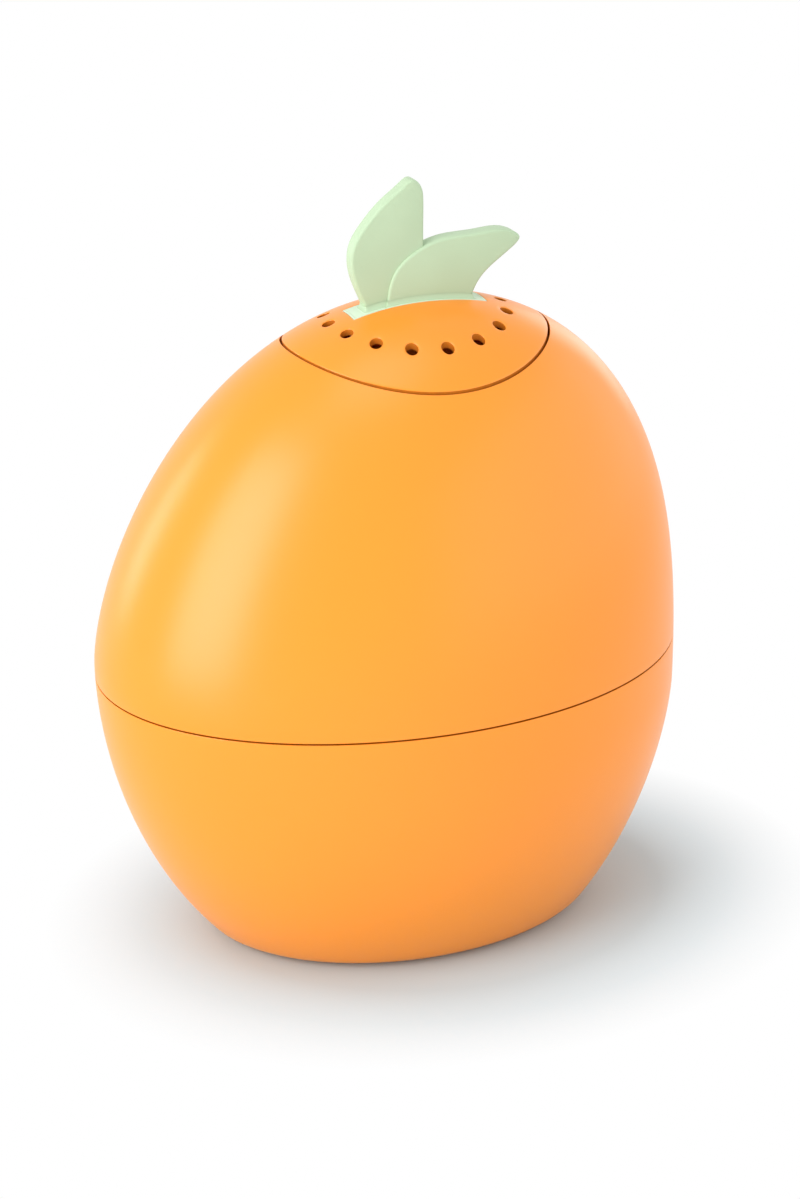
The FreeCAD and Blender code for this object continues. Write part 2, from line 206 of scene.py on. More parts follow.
def lower_bowl_rows():
    """Rows from the pad's recess, up the outside, over the spigot, down the inside to its floor."""
    pad = shrunk(plan(BASE_Z), BASE_EDGE_R + PAD_MARGIN)
    rows = [ellipse(*pad, PAD_RECESS_Z), ellipse(*pad, BASE_Z + PAD_RECESS_CHAMFER),
            ellipse(*shrunk(pad, -PAD_RECESS_CHAMFER), BASE_Z)]
    rows += [skin_row(BASE_Z + BASE_EDGE_R * rise, 0.0, BASE_EDGE_R * (1 - run))
             for run, rise in quarter(BASE_EDGE_STEPS)]
    side_low = BASE_Z + BASE_EDGE_R
    rows += [skin_row(z) for z in np.linspace(side_low, RIM_Z - SEAM_EDGE_R, SIDE_ROWS)[1:]]
    rows += [skin_row(RIM_Z - SEAM_EDGE_R * (1 - rise), 0.0, SEAM_EDGE_R * draw)
             for rise, draw in quarter(FINE_EDGE_STEPS)[1:]]
    spigot = shrunk(plan(SEAM_Z), SKIRT_WALL + SPIGOT_CLEARANCE)
    groove = shrunk(spigot, RIM_SEAL_SEAT)
    spigot_levels = [(spigot, RIM_Z), (spigot, RIM_SEAL_LOW_Z), (groove, RIM_SEAL_LOW_Z),
                     (groove, RIM_SEAL_TOP_Z), (spigot, RIM_SEAL_TOP_Z),
                     (spigot, SPIGOT_TOP_Z - SPIGOT_EDGE_R)]
    rows += [ellipse(*level, z) for level, z in spigot_levels]
    rows += [ellipse(*shrunk(spigot, SPIGOT_EDGE_R * draw), SPIGOT_TOP_Z - SPIGOT_EDGE_R * (1 - rise))
             for rise, draw in quarter(SPIGOT_EDGE_STEPS)[1:]]
    inner = plan(SEAM_Z, SHELL_WALL)
    rows += [ellipse(*shrunk(inner, -SPIGOT_CHAMFER), SPIGOT_TOP_Z),
             ellipse(*inner, SPIGOT_TOP_Z - SPIGOT_CHAMFER)]
    floor_z = BASE_Z + SHELL_WALL
    rows += [skin_row(z, SHELL_WALL) for z in np.linspace(SEAM_Z, floor_z + BASE_EDGE_R, INSIDE_ROWS)]
    rows += [skin_row(floor_z + BASE_EDGE_R * rise, SHELL_WALL, BASE_EDGE_R * (1 - run))
             for run, rise in reversed(quarter(INSIDE_EDGE_STEPS)[:-1])]
    return rows


rows = lower_bowl_rows()
faces = row_faces(len(rows))
faces.append(tuple(range(SEGMENTS)))
faces.append(tuple(range((len(rows) - 1) * SEGMENTS, len(rows) * SEGMENTS)))
bowl = add_object("bowl_shell", np.concatenate(rows), faces)
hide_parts("lower_bowl")
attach(bowl, "bowl")


OBJECT_PLACE = 3  # the Texture Coordinate output that is fixed to the piece


class Socket:
    """A shader socket that can be used in Python expressions; each operator adds a Math node."""

    def __init__(self, nodes, socket):
        self.nodes = nodes
        self.socket = socket

    def math(self, operation, *values):
        return self.nodes.node("ShaderNodeMath", {"operation": operation}, [self, *values])[0]

    def __add__(self, other):
        return self.math("ADD", other)

    def __radd__(self, other):
        return self.math("ADD", other)

    def __sub__(self, other):
        return self.math("SUBTRACT", other)

    def __rsub__(self, other):
        return self.nodes.node("ShaderNodeMath", {"operation": "SUBTRACT"}, [other, self])[0]

    def __mul__(self, other):
        return self.math("MULTIPLY", other)

    def __rmul__(self, other):
        return self.math("MULTIPLY", other)

    def clamped(self, low, high, to_low=0.0, to_high=1.0):
        """This value mapped from low..high to to_low..to_high, and held there."""
        values = [self, low, high, to_low, to_high]
        return self.nodes.node("ShaderNodeMapRange", {"clamp": True}, values)[0]


class Nodes:
    """A node tree, with the one method that adds a node to it."""

    def __init__(self, tree):
        self.tree = tree

    def node(self, kind, settings, values):
        """Adds a node; values are a list in socket order or a dict by socket name."""
        made = self.tree.nodes.new(kind)
        for name, value in settings.items():
            setattr(made, name, value)
        pairs = values.items() if isinstance(values, dict) else enumerate(values)
        for key, value in pairs:
            if isinstance(value, Socket):
                self.tree.links.new(value.socket, made.inputs[key])
            else:
                made.inputs[key].default_value = value
        return [Socket(self, output) for output in made.outputs]


class Shader(Nodes):
    """A material with its Principled shader; roughness is its plain value before any is fed."""

    def __init__(self, name, roughness, **constants):
        self.material = bpy.data.materials.new(name)
        self.material.use_nodes = True
        super().__init__(self.material.node_tree)
        self.surface = self.tree.nodes["Principled BSDF"]
        self.surface.inputs["Roughness"].default_value = roughness
        for socket, value in constants.items():
            self.surface.inputs[socket.replace("_", " ")].default_value = value
        self.place = self.node("ShaderNodeTexCoord", {}, [])[OBJECT_PLACE]

    def noise(self, size, detail=2.0, roughness=0.5):
        """Noise from 0 to 1 whose features are about size metres across."""
        values = {"Vector": self.place, "Scale": 1 / size, "Detail": detail, "Roughness": roughness}
        return self.node("ShaderNodeTexNoise", {}, values)[0]

    def mix(self, factor, first, second):
        """Colour between first and second."""
        return self.node("ShaderNodeMix", {"data_type": "RGBA"}, {0: factor, 6: first, 7: second})[2]

    def bump(self, height, distance, strength=1.0):
        """Feeds the surface's normal from a height between 0 and 1, distance metres tall."""
        values = {"Strength": strength, "Distance": distance, "Height": height}
        self.feed("Normal", self.node("ShaderNodeBump", {}, values)[0])

    def feed(self, name, value):
        self.tree.links.new(value.socket, self.surface.inputs[name])

    def on(self, *pieces):
        """Puts the material on pieces, in place of what they have."""
        for piece in pieces:
            piece.data.materials.clear()
            piece.data.materials.append(self.material)


ORANGE = (0.98, 0.305, 0.011, 1.0)
ORANGE_DEEP = (0.97, 0.290, 0.009, 1.0)
ORANGE_FLOW = 0.06
HANDLING = 0.018
MOULD_GRAIN = 0.0004
GRAIN_DEPTH = 0.00002

orange = Shader("satin_orange_moulding", roughness=0.35, IOR=1.58)
flow = orange.noise(ORANGE_FLOW, detail=1.0)
grain = orange.noise(MOULD_GRAIN, detail=2.0)
handling = orange.noise(HANDLING, detail=4.0, roughness=0.6)
orange.feed("Base Color", orange.mix(flow.clamped(0.3, 0.7), ORANGE, ORANGE_DEEP))
orange.feed("Roughness", 0.28 + handling * 0.05 + grain * 0.04)
orange.bump(grain * 0.7 + handling * 0.3, distance=GRAIN_DEPTH, strength=0.35)
orange.on(bowl)

# Darker, rougher orange for the walls of the gaps and the vents' bores: painted shade where they fall dark,
# with a random mottle.
ORANGE_PAINTED_SHADE = (0.56, 0.150, 0.004, 1.0)
ORANGE_PAINTED_SHADE_DEEP = (0.48, 0.130, 0.006, 1.0)
SHADE_MOTTLE = 0.0012

painted_shade_orange = Shader("orange_painted_gap_shade", roughness=0.7, IOR=1.3)
dust_and_shade_mottle = painted_shade_orange.noise(SHADE_MOTTLE, detail=3.0)
painted_shade_orange.feed("Base Color", painted_shade_orange.mix(dust_and_shade_mottle.clamped(0.4, 0.7), ORANGE_PAINTED_SHADE, ORANGE_PAINTED_SHADE_DEEP))
painted_shade_orange.feed("Roughness", 0.62 + dust_and_shade_mottle * 0.2)
painted_shade_orange.bump(dust_and_shade_mottle, distance=GRAIN_DEPTH, strength=0.3)


def put_where(shader, piece, where):
    """Gives a second material to the faces whose centres, in millimetres, pass where(x, y, z)."""
    mesh = piece.data
    mesh.materials.append(shader.material)
    centres = np.empty(3 * len(mesh.polygons))
    mesh.polygons.foreach_get("center", centres)
    chosen = where(*(centres.reshape(-1, 3) / MM).T)
    mesh.polygons.foreach_set("material_index", chosen.astype(int))


TOUCH = 0.01
RIM_LAND_INSET = 0.2


def in_bowl_gap(x, y, z):
    """On the rim's land, inside its rounded edge, or on the spigot below its seal."""
    centre_x, half_length, half_width = shrunk(plan(RIM_Z), RIM_LAND_INSET)
    inside = np.hypot((x - centre_x) / half_length, y / half_width) < 1
    return inside & (z > RIM_Z - TOUCH) & (z < RIM_SEAL_LOW_Z)


# The rim's land and the spigot below its seal take the darker orange: painted shade in the seam's gap.
put_where(painted_shade_orange, bowl, in_bowl_gap)


# ---------------------------------------------------------------- Upper dome
# The second shell, in the same orange.  Its skirt drops over the bowl's spigot, and a neck round its
# mouth holds a level ledge on which the cap stands.  The walls of its gaps are painted a darker, rougher
# orange: painted shade.
CAP_HALF_LENGTH = 25.9
CAP_HALF_WIDTH = 23.0
CAP_GAP = 0.4
MOUTH_EDGE_R = 0.16
NECK_WALL = 1.8
LEDGE_BELOW_CROWN = 16.6
LEDGE_Z = CROWN_Z - LEDGE_BELOW_CROWN
LEDGE_THICKNESS = 1.8
LEDGE_WIDTH = 2.2
SPIGOT_TOP_CLEARANCE = 0.5
SOCKET_TOP_Z = SPIGOT_TOP_Z + SPIGOT_TOP_CLEARANCE
PAINTED_SHADE_DEPTH = 2.5
MOUTH_WALL_SHARE = 0.002
DOME_ROWS = 60
DOME_INSIDE_ROWS = 40
HALVINGS = 44


def height_where(passed, shape, inset):
    """Heights at which passed(z) first holds, going up from the seam; the span is halved each time."""
    low = np.full(shape, SEAM_Z)
    high = np.full(shape, CROWN_Z - inset)
    for _ in range(HALVINGS):
        middle = (low + high) / 2
        there = passed(middle)
        high = np.where(there, middle, high)
        low = np.where(there, low, middle)
    return (low + high) / 2


def skin_height(x, y, inset=0.0):
    """Height of the fruit's upper skin over plan points."""
    x = np.asarray(x, dtype=float)
    y = np.asarray(y, dtype=float)

    def outside(z):
        centre_x, half_length, half_width = plan(z, inset)
        along = (x - centre_x) / np.maximum(half_length, TINY)
        across = y / np.maximum(half_width, TINY)
        return along ** 2 + across ** 2 > 1

    return height_where(outside, x.shape, inset)


def meridian_limit(half_length, half_width, inset=0.0):
    """Per meridian of the skin, the height at which it crosses an upright elliptical prism."""
    def inside(z):
        x, y, _ = meridian_row(z, inset).T
        return (x / half_length) ** 2 + (y / half_width) ** 2 < 1

    return height_where(inside, SEGMENTS, inset)


def meridian_row(z, inset=0.0):
    """Row on the skin with its own height on each meridian."""
    centre_x, half_length, half_width = plan(z, inset)
    return np.stack([centre_x + half_length * np.cos(around), half_width * np.sin(around), z], axis=1)


def prism_row(turn, half_length, half_width, z):
    """Row on an upright elliptical prism about the leaf's axis, at the given turns."""
    z = np.broadcast_to(z, turn.shape)
    return np.stack([half_length * np.cos(turn), half_width * np.sin(turn), z], axis=1)


def upper_dome_rows():
    """Rows from the lower edge, up the outside, through mouth, ledge and neck, down the inside."""
    rows = [skin_row(SEAM_Z + SEAM_EDGE_R * (1 - rise), 0.0, SEAM_EDGE_R * draw)
            for rise, draw in reversed(quarter(FINE_EDGE_STEPS))]
    mouth = (CAP_HALF_LENGTH + CAP_GAP, CAP_HALF_WIDTH + CAP_GAP)
    lip = (mouth[0] + MOUTH_EDGE_R, mouth[1] + MOUTH_EDGE_R)
    top_z = meridian_limit(*lip)
    start_z = SEAM_Z + SEAM_EDGE_R
    for i in range(1, DOME_ROWS + 1):
        share = math.sin(math.pi / 2 * i / DOME_ROWS)
        rows.append(meridian_row(start_z + (top_z - start_z) * share))
    x, y, _ = rows[-1].T
    turn = np.arctan2(y / lip[1], x / lip[0])
    for rise, draw in quarter(FINE_EDGE_STEPS)[1:]:
        out = MOUTH_EDGE_R * (1 - rise)
        x = (mouth[0] + out) * np.cos(turn)
        y = (mouth[1] + out) * np.sin(turn)
        rows.append(np.stack([x, y, skin_height(x, y) - MOUTH_EDGE_R * draw], axis=1))
    rows.append(prism_row(turn, *mouth, rows[-1][:, 2] - PAINTED_SHADE_DEPTH))
    ledge_low = LEDGE_Z - LEDGE_THICKNESS
    throat = (mouth[0] - LEDGE_WIDTH, mouth[1] - LEDGE_WIDTH)
    neck = (mouth[0] + NECK_WALL, mouth[1] + NECK_WALL)
    rows += [prism_row(turn, *mouth, LEDGE_Z), prism_row(turn, *throat, LEDGE_Z),
             prism_row(turn, *throat, ledge_low), prism_row(turn, *neck, ledge_low)]
    inner_top = meridian_limit(*neck, SHELL_WALL)
    rows.append(meridian_row(inner_top, SHELL_WALL))
    for i in range(1, DOME_INSIDE_ROWS + 1):
        share = math.cos(math.pi / 2 * i / DOME_INSIDE_ROWS)
        rows.append(meridian_row(SOCKET_TOP_Z + (inner_top - SOCKET_TOP_Z) * share, SHELL_WALL))
    socket = shrunk(plan(SEAM_Z), SKIRT_WALL)
    rows += [ellipse(*socket, SOCKET_TOP_Z), ellipse(*socket, SEAM_Z)]
    return rows


rows = upper_dome_rows()
dome = add_object("dome_shell", np.concatenate(rows), row_faces(len(rows), closed=True))
orange.on(dome)


def in_dome_gaps(x, y, z):
    """On the lower edge, or near the top of the mouth's wall."""
    from_axis = np.hypot(x / (CAP_HALF_LENGTH + CAP_GAP), y / (CAP_HALF_WIDTH + CAP_GAP))
    at_mouth = np.abs(from_axis - 1) < MOUTH_WALL_SHARE
    return (z < SEAM_Z + TOUCH) | (at_mouth & (z > skin_height(x, y) - MOUTH_EDGE_R - PAINTED_SHADE_DEPTH))


# The dome's lower edge and the top of its mouth's wall take the darker orange: painted shade in the gaps.
put_where(painted_shade_orange, dome, in_dome_gaps)
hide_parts("upper_dome")
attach(dome, "dome")


# ---------------------------------------------------------------- Vent cap
# Lid moulded in the same orange, flush with the dome.  Its skirt stands on the ledge; sixteen vents
# ring the crown, and a shallow pocket takes the strip at the leaf's foot.  Its rim and the vents'
# bores are painted a darker, rougher orange: painted shade.
CAP_WALL = 1.2
CAP_PAD_THICKNESS = 2.2
CAP_PAD_MARGIN = 1.2
CAP_EDGE_R = 0.16
CAP_SKIRT_STEP = 0.5
CAP_SKIRT_HEIGHT = 3.2
CAP_SKIRT_TOP_Z = LEDGE_Z + CAP_SKIRT_HEIGHT
CAP_SKIRT_WALL = 1.6
CAP_SEAL_SEAT = 0.6
CAP_SEAL_ABOVE_LEDGE = 0.9
CAP_SEAL_HEIGHT = 1.6
CAP_SEAL_LOW_Z = LEDGE_Z + CAP_SEAL_ABOVE_LEDGE
CAP_SEAL_TOP_Z = CAP_SEAL_LOW_Z + CAP_SEAL_HEIGHT
VENT_COUNT = 16
VENT_R = 1.25
VENT_EDGE_R = 0.16
VENT_RING = (17.7, 16.2)
VENT_SEGMENTS = 44
STRIP_HALF_LENGTH = 13.7
STRIP_HALF_WIDTH = 3.05
STRIP_THICKNESS = 1.0
STRIP_CLEARANCE = 0.1
POCKET_EDGE_R = 0.08
PEG_X = 8.0
PEG_HOLE_R = 2.15
BOSS_R = 3.8
BOSS_BELOW_CROWN = 5.6
BOSS_BOTTOM_Z = CROWN_Z - BOSS_BELOW_CROWN
RIM_ROUNDING = (0.0, 0.015, 0.05, 0.1, CAP_EDGE_R)
VENT_ROUNDING = (0.0, 0.05, VENT_EDGE_R)
POCKET_ROUNDING = (0.0, 0.03, POCKET_EDGE_R)
CAP_GRID = 0.7
HEX_ROW_SHARE = 0.866
CLEAR_OF_RIM = 0.3
CLEAR_OF_HOLES = 0.2
CLEAR_OF_BORE_SHARE = 0.98
SAME_POINT = 1e-7
VENT_TOUCH = 0.005
RIM_TOUCH = 0.02

vent_turns = [2 * math.pi * i / VENT_COUNT for i in range(VENT_COUNT)]
vents = [(VENT_RING[0] * math.cos(turn), VENT_RING[1] * math.sin(turn)) for turn in vent_turns]


def eased_drop(distance, radius):
    """How far a rounded edge falls away, at a distance in from the edge."""
    distance = np.clip(distance, 0.0, radius)
    return radius - np.sqrt(radius ** 2 - (radius - distance) ** 2)


def circle(x, y, radius, count=VENT_SEGMENTS):
    """Plan points on a circle."""
    turn = np.linspace(0, 2 * math.pi, count, endpoint=False)
    return np.stack([x + radius * np.cos(turn), y + radius * np.sin(turn)], axis=1)


def rectangle(half_length, half_width, spacing=0.5):
    """Plan points round a rectangle, corners included."""
    along = np.linspace(-half_length, half_length, round(2 * half_length / spacing) + 1)[:-1]
    across = np.linspace(-half_width, half_width, round(2 * half_width / spacing) + 1)[:-1]
    low = np.stack([along, np.full_like(along, -half_width)], axis=1)
    right = np.stack([np.full_like(across, half_length), across], axis=1)
    return np.concatenate([low, right, -low, -right])


def cap_ellipse(half_length, half_width):
    """Plan points on an ellipse about the cap's axis."""
    return np.stack([half_length * np.cos(around), half_width * np.sin(around)], axis=1)


def hex_grid(half_length, half_width, spacing):
    """Plan points in a triangular pattern over a rectangle."""
    points = []
    for row in range(int(2 * half_width / (spacing * HEX_ROW_SHARE)) + 1):
        y = -half_width + row * spacing * HEX_ROW_SHARE
        start = -half_length + (row % 2) * spacing / 2
        points += [(x, y) for x in np.arange(start, half_length, spacing)]
    return np.array(points)


def plan_sheet(loops, scattered, keep):
    """Triangles over plan points: every edge of the loops is kept, and so are triangles where keep says."""
    points = np.concatenate(loops + [scattered])
    edges = []
    first = 0
    for loop in loops:
        count = len(loop)
        edges += [(first + i, first + (i + 1) % count) for i in range(count)]
        first += count
    made = delaunay_2d_cdt([Vector(p) for p in points.tolist()], edges, [], 0, SAME_POINT)
    points = np.array([tuple(v) for v in made[0]])
    triangles = np.array([list(f) for f in made[2]])
    middle = points[triangles].mean(axis=1)
    return points, triangles[keep(middle[:, 0], middle[:, 1])]


def edge_distances(x, y):
    """Distance from plan points to the cap's rim, to the nearest vent and to the pocket."""
    to_rim = (1 - np.hypot(x / CAP_HALF_LENGTH, y / CAP_HALF_WIDTH)) * CAP_HALF_WIDTH
    to_vent = np.min([np.hypot(x - vx, y - vy) for vx, vy in vents], axis=0) - VENT_R
    over_x = np.abs(x) - STRIP_HALF_LENGTH - STRIP_CLEARANCE
    over_y = np.abs(y) - STRIP_HALF_WIDTH - STRIP_CLEARANCE
    outside = np.hypot(np.maximum(over_x, 0), np.maximum(over_y, 0))
    to_pocket = np.where((over_x < 0) & (over_y < 0), np.maximum(over_x, over_y), outside)
    return to_rim, to_vent, to_pocket


class Pieces:
    """Gathers points and faces of the parts of one mesh."""

    def __init__(self):
        self.points = []
        self.faces = []
        self.count = 0

    def add(self, points, faces):
        self.faces += [tuple(int(i) + self.count for i in face) for face in faces]
        self.points.append(np.asarray(points))
        self.count += len(points)

    def band(self, low, high):
        """Quads between two closed rows with as many points each."""
        count = len(low)
        faces = [(i, (i + 1) % count, count + (i + 1) % count, count + i) for i in range(count)]
        self.add(np.concatenate([low, high]), faces)

    def bands(self, rows):
        for low, high in zip(rows, rows[1:]):
            self.band(low, high)


def at_height(points, z):
    """Plan points lifted to heights z."""
    return np.column_stack([points, np.broadcast_to(z, len(points))])


def on_skin(points, inset=0.0):
    """Plan points lifted to the fruit's upper skin, or to inset below it."""
    return at_height(points, skin_height(*points.T, inset))


def add_tube(parts, x, inner_r, outer_r, low_z, top_z):
    """Upright tube on the cap's long axis."""
    inner = circle(x, 0, inner_r)
    outer = circle(x, 0, outer_r)
    parts.bands([at_height(outer, top_z), at_height(outer, low_z), at_height(inner, low_z),
                 at_height(inner, top_z), at_height(outer, top_z)])


def on_cap_top(x, y):
    """Inside the cap's rim, and clear of the vents and the pocket."""
    to_rim, to_vent, to_pocket = edge_distances(x, y)
    return (to_rim > -TOUCH) & (to_vent > 0) & (to_pocket > 0)


def cap_top_z(x, y):
    """Height of the cap's top, with the edges of its rim, vents and pocket rounded."""
    to_rim, to_vent, to_pocket = edge_distances(x, y)
    return (skin_height(x, y) - eased_drop(to_rim, CAP_EDGE_R) - eased_drop(to_vent, VENT_EDGE_R)
            - eased_drop(to_pocket, POCKET_EDGE_R))


pocket_half = (STRIP_HALF_LENGTH + STRIP_CLEARANCE, STRIP_HALF_WIDTH + STRIP_CLEARANCE)
vent_rings = [circle(x, y, VENT_R + out) for out in VENT_ROUNDING for x, y in vents]
rim_rings = [cap_ellipse(CAP_HALF_LENGTH - out, CAP_HALF_WIDTH - out) for out in RIM_ROUNDING]
pocket_rings = [rectangle(pocket_half[0] + out, pocket_half[1] + out) for out in POCKET_ROUNDING]
scattered = hex_grid(CAP_HALF_LENGTH, CAP_HALF_WIDTH, CAP_GRID)
to_rim, to_vent, to_pocket = edge_distances(*scattered.T)
scattered = scattered[(to_rim > CAP_EDGE_R + CLEAR_OF_RIM) & (to_vent > VENT_EDGE_R + CLEAR_OF_HOLES)
                      & (to_pocket > POCKET_EDGE_R + CLEAR_OF_HOLES)]

cap_parts = Pieces()
points, triangles = plan_sheet(vent_rings + rim_rings + pocket_rings, scattered, on_cap_top)
cap_parts.add(at_height(points, cap_top_z(*points.T)), triangles)

skirt = (CAP_HALF_LENGTH - CAP_SKIRT_STEP, CAP_HALF_WIDTH - CAP_SKIRT_STEP)
seat = (skirt[0] - CAP_SEAL_SEAT, skirt[1] - CAP_SEAL_SEAT)
bore = (skirt[0] - CAP_SKIRT_WALL, skirt[1] - CAP_SKIRT_WALL)
rim = rim_rings[0]
rim_z = cap_top_z(*rim.T)
bore_ring = cap_ellipse(*bore)
skirt_levels = [(skirt, CAP_SKIRT_TOP_Z), (skirt, CAP_SEAL_TOP_Z), (seat, CAP_SEAL_TOP_Z),
                (seat, CAP_SEAL_LOW_Z), (skirt, CAP_SEAL_LOW_Z), (skirt, LEDGE_Z), (bore, LEDGE_Z)]
cap_parts.bands([at_height(rim, rim_z), at_height(rim, rim_z - PAINTED_SHADE_DEPTH), at_height(rim, CAP_SKIRT_TOP_Z)]
                + [at_height(cap_ellipse(*size), z) for size, z in skirt_levels]
                + [on_skin(bore_ring, CAP_WALL)])


def on_cap_underside(x, y):
    """Inside the skirt's bore, and clear of the vents and the pad."""
    _, to_vent, to_pocket = edge_distances(x, y)
    return (np.hypot(x / bore[0], y / bore[1]) < 1) & (to_vent > 0) & (to_pocket > CAP_PAD_MARGIN)


pad_ring = rectangle(pocket_half[0] + CAP_PAD_MARGIN, pocket_half[1] + CAP_PAD_MARGIN)
under_rings = [bore_ring, pad_ring] + [circle(x, y, VENT_R) for x, y in vents]
inside_bore = np.hypot(scattered[:, 0] / bore[0], scattered[:, 1] / bore[1]) < CLEAR_OF_BORE_SHARE
points, triangles = plan_sheet(under_rings, scattered[inside_bore], on_cap_underside)
cap_parts.add(on_skin(points, CAP_WALL), triangles)
cap_parts.band(on_skin(pad_ring, CAP_PAD_THICKNESS), on_skin(pad_ring, CAP_WALL))
points, triangles = plan_sheet([pad_ring], pad_ring[:0], lambda x, y: np.full(x.shape, True))
cap_parts.add(on_skin(points, CAP_PAD_THICKNESS), triangles)
for x, y in vents:
    ring = circle(x, y, VENT_R)
    cap_parts.band(on_skin(ring, CAP_WALL), at_height(ring, cap_top_z(*ring.T)))
pocket = pocket_rings[0]
cap_parts.band(at_height(pocket, cap_top_z(*pocket.T)), on_skin(pocket, STRIP_THICKNESS))
points, triangles = plan_sheet([pocket], pocket[:0], lambda x, y: edge_distances(x, y)[2] < 0)
cap_parts.add(on_skin(points, STRIP_THICKNESS), triangles)
for x in (-PEG_X, PEG_X):
    add_tube(cap_parts, x, PEG_HOLE_R, BOSS_R, BOSS_BOTTOM_Z, CROWN_Z - CAP_PAD_THICKNESS)

cap = add_object("cap_lid", np.concatenate(cap_parts.points), cap_parts.faces)
orange.on(cap)


def in_cap_gaps(x, y, z):
    """In a vent's bore, or near the top of the rim's wall."""
    to_rim, to_vent, _ = edge_distances(x, y)
    near_top = z > skin_height(x, y) - CAP_EDGE_R - PAINTED_SHADE_DEPTH
    return (to_vent < VENT_TOUCH) | ((to_rim < RIM_TOUCH) & near_top)


# The vents' bores and the top of the rim's wall take the darker orange: painted shade in the bores and the
# gap.
put_where(painted_shade_orange, cap, in_cap_gaps)
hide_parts("vent_cap")
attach(cap, "cap")


# ---------------------------------------------------------------- Leaf grip
# One sage-green moulding: two flat leaf lobes, the front one standing proud of the rear one, on a
# strip that follows the crown, with a small collar where they meet.  The strip is painted a paler
# green: painted light, for the light on its upturned top.  Two pegs below take the screws.
LEAF_HALF_THICKNESS = 1.6
FRONT_LOBE_RAISE = 0.5
BACK_STEP = 0.04
LEAF_EDGE_R = 0.55
COLLAR_GAP = 0.08
COLLAR_RUN = 0.8
COLLAR_RISE = 1.0
COLLAR_SINK = 0.05
COLLAR_SPACING = 0.12
COLLAR_STEPS = 6
FOOT_BELOW_CROWN = 2.6
FOOT_Z = CROWN_Z - FOOT_BELOW_CROWN
REAR_FOOT_X = -10.6
FRONT_FOOT_X = -6.4
FOOT_END_X = 11.0
OUTLINE_SPACING = 0.15
PEG_R = 2.0
PEG_SHORTFALL = 0.2
PEG_ROOT = 1.2
SCREW_R = 1.1
STRIP_EDGE_R = 0.08
STRIP_RIM = 0.22
STRIP_DISH = 0.12
STRIP_DISH_RUN = 0.35
STRIP_EDGE_STOPS = np.array([0, 0.02, 0.06, 0.12, 0.17, STRIP_RIM, 0.29, 0.38, 0.48, 0.6])
STRIP_MIDDLE_INSET = 0.8
STRIP_STOPS_ALONG = 90
STRIP_STOPS_ACROSS = 16
STRIP_TOUCH = 0.02
STRIP_SIDE = 0.2
REAR_LOBE = [(-10.1, 0.0), (-10.8, 2.2), (-12.5, 6.3), (-13.5, 10.6), (-13.0, 14.2), (-10.8, 17.7),
             (-6.8, 21.9), (-2.9, 24.9), (-1.1, 25.9), (0.5, 24.8), (1.2, 22.0), (1.2, 17.6), (1.2, 12.2)]
REAR_LOBE_HIDDEN_SIDE = [(1.2, 12.2), (3.0, 6.0), (4.0, 0.0)]
FRONT_LOBE = [(-6.5, 0.0), (-6.3, 3.6), (-4.9, 8.2), (-1.0, 11.8), (5.0, 14.0), (12.5, 14.4),
              (19.7, 13.8), (20.9, 12.8), (19.1, 10.5), (12.3, 4.7), (10.2, 0.0)]


def smooth_outline(points):
    """Evenly spaced (x, z) points on a natural cubic through points (x, height above the foot)."""
    points = np.array(points) + (0, FOOT_Z)
    knots = np.concatenate([[0], np.cumsum(np.linalg.norm(np.diff(points, axis=0), axis=1))])
    gaps = np.diff(knots)
    count = len(points)
    system = np.zeros((count, count))
    system[0, 0] = system[-1, -1] = 1
    right = np.zeros((count, 2))
    for i in range(1, count - 1):
        system[i, i - 1:i + 2] = gaps[i - 1], 2 * (gaps[i - 1] + gaps[i]), gaps[i]
        right[i] = 6 * ((points[i + 1] - points[i]) / gaps[i] - (points[i] - points[i - 1]) / gaps[i - 1])
    bend = np.linalg.solve(system, right)
    places = np.linspace(0, knots[-1], int(knots[-1] / OUTLINE_SPACING) + 1)
    span = np.clip(np.searchsorted(knots, places, side="right") - 1, 0, count - 2)
    h = gaps[span][:, None]
    before = (knots[span + 1] - places)[:, None]
    after = (places - knots[span])[:, None]
    return (bend[span] * before ** 3 / (6 * h) + bend[span + 1] * after ** 3 / (6 * h)
            + (points[span] / h - bend[span] * h / 6) * before
            + (points[span + 1] / h - bend[span + 1] * h / 6) * after)


def drawn_in(outline, distance):
    """Closed outline moved inwards by distance."""
    ahead = np.roll(outline, -1, axis=0) - np.roll(outline, 1, axis=0)
    ahead /= np.maximum(np.linalg.norm(ahead, axis=1), TINY)[:, None]
    x, z = outline.T
    area = np.sum(x * np.roll(z, -1) - np.roll(x, -1) * z)
    inward = np.stack([-ahead[:, 1], ahead[:, 0]], axis=1) * (1 if area > 0 else -1)
    return outline + inward * distance


def at_depth(outline, y):
    """Outline in (x, z) stood up at depth y."""
    return np.column_stack([outline[:, 0], np.full(len(outline), y), outline[:, 1]])


def add_lobe(parts, outline, y_near, y_far):
    """Flat lobe with both faces' edges rounded."""
    rows = []
    for y_face, side in ((y_near, 1), (y_far, -1)):
        edge = [at_depth(drawn_in(outline, LEAF_EDGE_R * (1 - run)), y_face + side * LEAF_EDGE_R * rise)
                for run, rise in quarter(FINE_EDGE_STEPS)]
        rows += edge[::side]
    parts.bands(rows)
    count = len(outline)
    parts.add(rows[0], [tuple(range(count))])
    parts.add(rows[-1], [tuple(range(count))])


def strip_stops(half, count):
    """Places across the strip, close together at its edges."""
    middle = np.linspace(-half + STRIP_MIDDLE_INSET, half - STRIP_MIDDLE_INSET, count)
    return np.concatenate([-half + STRIP_EDGE_STOPS, middle, (half - STRIP_EDGE_STOPS)[::-1]])


